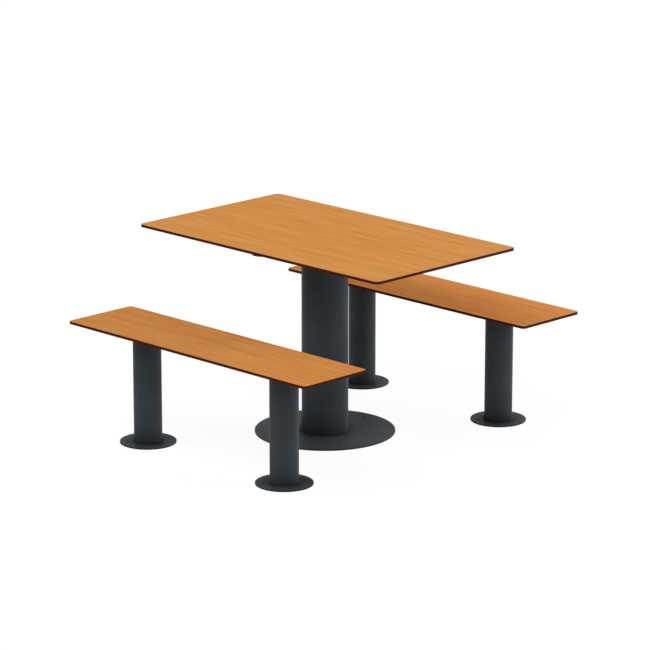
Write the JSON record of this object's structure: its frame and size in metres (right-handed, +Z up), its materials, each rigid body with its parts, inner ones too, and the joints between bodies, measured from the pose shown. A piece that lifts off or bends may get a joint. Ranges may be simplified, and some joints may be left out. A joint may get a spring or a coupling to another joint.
{
  "type": "table with benches",
  "caption": "Outdoor table on a round steel column with a bench on round steel legs along each long side, thin wood-look boards with rounded corners, base plates for anchoring.",
  "frame": {"origin": "on the ground, on the axis of the table's column, which is the middle of the whole group's footprint", "axes": "+X along the table's and seats' length, +Y from the front bench across the table to the back bench, +Z up"},
  "size_m": [1.2, 1.39, 0.724],
  "materials": {
    "wood_decor_laminate": "matt wood-grain print with dark brown core",
    "anthracite_powder_coat": "matt fine-textured powder coat",
    "stainless_steel": "plain stainless steel",
    "brass": "plain brass"
  },
  "bodies": {
    "root": {"back_bench_left_leg_base_plate": "anthracite_powder_coat", "back_bench_left_leg_base_weld": "anthracite_powder_coat", "back_bench_left_leg_head_weld": "anthracite_powder_coat", "back_bench_left_leg_joint_sleeve": "anthracite_powder_coat", "back_bench_left_leg_lower_tube": "anthracite_powder_coat", "back_bench_left_leg_upper_tube": "anthracite_powder_coat", "back_bench_rail": "anthracite_powder_coat", "back_bench_rib_left": "anthracite_powder_coat", "back_bench_rib_middle": "anthracite_powder_coat", "back_bench_rib_right": "anthracite_powder_coat", "back_bench_right_leg_base_plate": "anthracite_powder_coat", "back_bench_right_leg_base_weld": "anthracite_powder_coat", "back_bench_right_leg_head_weld": "anthracite_powder_coat", "back_bench_right_leg_joint_sleeve": "anthracite_powder_coat", "back_bench_right_leg_lower_tube": "anthracite_powder_coat", "back_bench_right_leg_upper_tube": "anthracite_powder_coat", "back_bench_seat": "wood_decor_laminate", "back_bench_seat_inserts": "brass", "back_bench_seat_screws": "stainless_steel", "back_bench_seat_washers": "stainless_steel", "front_bench_left_leg_base_plate": "anthracite_powder_coat", "front_bench_left_leg_base_weld": "anthracite_powder_coat", "front_bench_left_leg_head_weld": "anthracite_powder_coat", "front_bench_left_leg_joint_sleeve": "anthracite_powder_coat", "front_bench_left_leg_lower_tube": "anthracite_powder_coat", "front_bench_left_leg_upper_tube": "anthracite_powder_coat", "front_bench_rail": "anthracite_powder_coat", "front_bench_rib_left": "anthracite_powder_coat", "front_bench_rib_middle": "anthracite_powder_coat", "front_bench_rib_right": "anthracite_powder_coat", "front_bench_right_leg_base_plate": "anthracite_powder_coat", "front_bench_right_leg_base_weld": "anthracite_powder_coat", "front_bench_right_leg_head_weld": "anthracite_powder_coat", "front_bench_right_leg_joint_sleeve": "anthracite_powder_coat", "front_bench_right_leg_lower_tube": "anthracite_powder_coat", "front_bench_right_leg_upper_tube": "anthracite_powder_coat", "front_bench_seat": "wood_decor_laminate", "front_bench_seat_inserts": "brass", "front_bench_seat_screws": "stainless_steel", "front_bench_seat_washers": "stainless_steel", "table_base_plate": "anthracite_powder_coat", "table_carrier_plate": "anthracite_powder_coat", "table_column": "anthracite_powder_coat", "table_column_base_weld": "anthracite_powder_coat", "table_column_head_weld": "anthracite_powder_coat", "table_rib_back": "anthracite_powder_coat", "table_rib_front": "anthracite_powder_coat", "table_rib_left": "anthracite_powder_coat", "table_rib_right": "anthracite_powder_coat", "table_top": "wood_decor_laminate", "table_top_inserts": "brass", "table_top_screws": "stainless_steel", "table_top_washers": "stainless_steel"}
  },
  "joints": []
}
